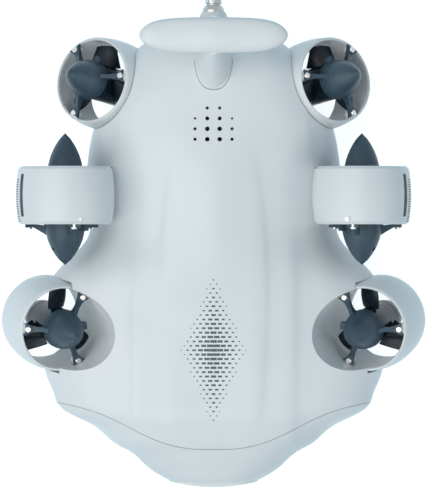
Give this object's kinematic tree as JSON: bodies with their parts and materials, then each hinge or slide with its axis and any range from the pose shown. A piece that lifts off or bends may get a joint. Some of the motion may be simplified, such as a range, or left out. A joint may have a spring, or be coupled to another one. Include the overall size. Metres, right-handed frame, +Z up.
{
  "type": "underwater inspection rov",
  "caption": "Compact underwater inspection vehicle with a moulded hull, ducted thrusters, tail wing, nose camera and tether inlet.",
  "frame": {"origin": "middle of the footprint, on the plane that the rubber feet stand on", "axes": "+Z up, +Y towards the tail, +X to the right side in the view from above with the tail up"},
  "size_m": [0.331, 0.383, 0.143],
  "materials": {
    "hull": "satin moulded white plastic",
    "black_plastic": "fine-textured black plastic",
    "nickel": "nickel-plated, turned",
    "glass": "clear, polished",
    "lens_barrel": "anodised black",
    "lamp_metal": "turned, bead blasted",
    "housing_metal": "hard anodised grey",
    "seal_rubber": "moulded black rubber",
    "cradle_plastic": "moulded dark grey",
    "battery_wrap": "shrink wrapped",
    "board": "green solder mask",
    "screw_steel": "stainless, turned",
    "stator_steel": "laminated steel with potted windings",
    "slate_plastic": "fine-textured slate grey plastic",
    "rotor_plastic": "glossy dark slate plastic"
  },
  "bodies": {
    "hull": {"upper_shell": "hull", "lower_shell": "hull", "front_fairing": "hull", "tail_pylon": "hull", "tail_wing": "hull", "connector_boss": "hull", "mid_duct_left": "hull", "mid_duct_right": "hull", "rear_duct_left": "hull", "rear_duct_right": "hull", "front_guard_left": "hull", "front_guard_right": "hull", "camera_bezel": "hull", "connector_insert": "black_plastic", "mid_slot_strip_left": "black_plastic", "mid_slot_strip_right": "black_plastic", "tether_connector": "nickel", "camera_window": "glass", "headlamp_lens_left": "glass", "headlamp_lens_right": "glass", "camera_module": "lens_barrel", "headlamp_body_left": "lamp_metal", "headlamp_body_right": "lamp_metal", "pressure_housing": "housing_metal", "housing_cap_front": "housing_metal", "housing_cap_rear": "housing_metal", "belly_plate": "housing_metal", "electronics_tray": "housing_metal", "housing_seals": "seal_rubber", "rubber_feet": "seal_rubber", "housing_cradles": "cradle_plastic", "battery_pack": "battery_wrap", "main_board": "board", "belly_screws": "screw_steel", "duct_screws": "screw_steel", "motor_shafts": "screw_steel", "motor_stators": "stator_steel", "front_motor_mount_left": "slate_plastic", "front_motor_mount_right": "slate_plastic", "mid_motor_mount_left": "slate_plastic", "mid_motor_mount_right": "slate_plastic", "rear_motor_mount_left": "slate_plastic", "rear_motor_mount_right": "slate_plastic"},
    "front_rotor_left": {"front_rotor_left": "rotor_plastic", "front_tail_cone_left": "slate_plastic"},
    "front_rotor_right": {"front_rotor_right": "rotor_plastic", "front_tail_cone_right": "slate_plastic"},
    "mid_rotor_left": {"mid_rotor_left": "rotor_plastic", "mid_tail_cone_left": "slate_plastic"},
    "mid_rotor_right": {"mid_rotor_right": "rotor_plastic", "mid_tail_cone_right": "slate_plastic"},
    "rear_rotor_left": {"rear_rotor_left": "rotor_plastic", "rear_tail_cone_left": "slate_plastic"},
    "rear_rotor_right": {"rear_rotor_right": "rotor_plastic", "rear_tail_cone_right": "slate_plastic"}
  },
  "joints": [
    {"name": "front_rotor_spin_left", "type": "hinge", "parent": "hull", "child": "front_rotor_left", "pos_m": [-0.1178, -0.0676, 0.076], "axis": [0.3675, -0.1934, 0.9097], "continuous": true},
    {"name": "front_rotor_spin_right", "type": "hinge", "parent": "hull", "child": "front_rotor_right", "pos_m": [0.1178, -0.0676, 0.076], "axis": [-0.3675, -0.1934, 0.9097], "continuous": true},
    {"name": "mid_rotor_spin_left", "type": "hinge", "parent": "hull", "child": "mid_rotor_left", "pos_m": [-0.115, 0.0133, 0.09], "axis": [0, -1, 0], "continuous": true},
    {"name": "mid_rotor_spin_right", "type": "hinge", "parent": "hull", "child": "mid_rotor_right", "pos_m": [0.115, 0.0133, 0.09], "axis": [0, -1, 0], "continuous": true},
    {"name": "rear_rotor_spin_left", "type": "hinge", "parent": "hull", "child": "rear_rotor_left", "pos_m": [-0.0949, 0.1256, 0.074], "axis": [-0.5664, 0.1572, 0.809], "continuous": true},
    {"name": "rear_rotor_spin_right", "type": "hinge", "parent": "hull", "child": "rear_rotor_right", "pos_m": [0.0949, 0.1256, 0.074], "axis": [0.5664, 0.1572, 0.809], "continuous": true}
  ]
}
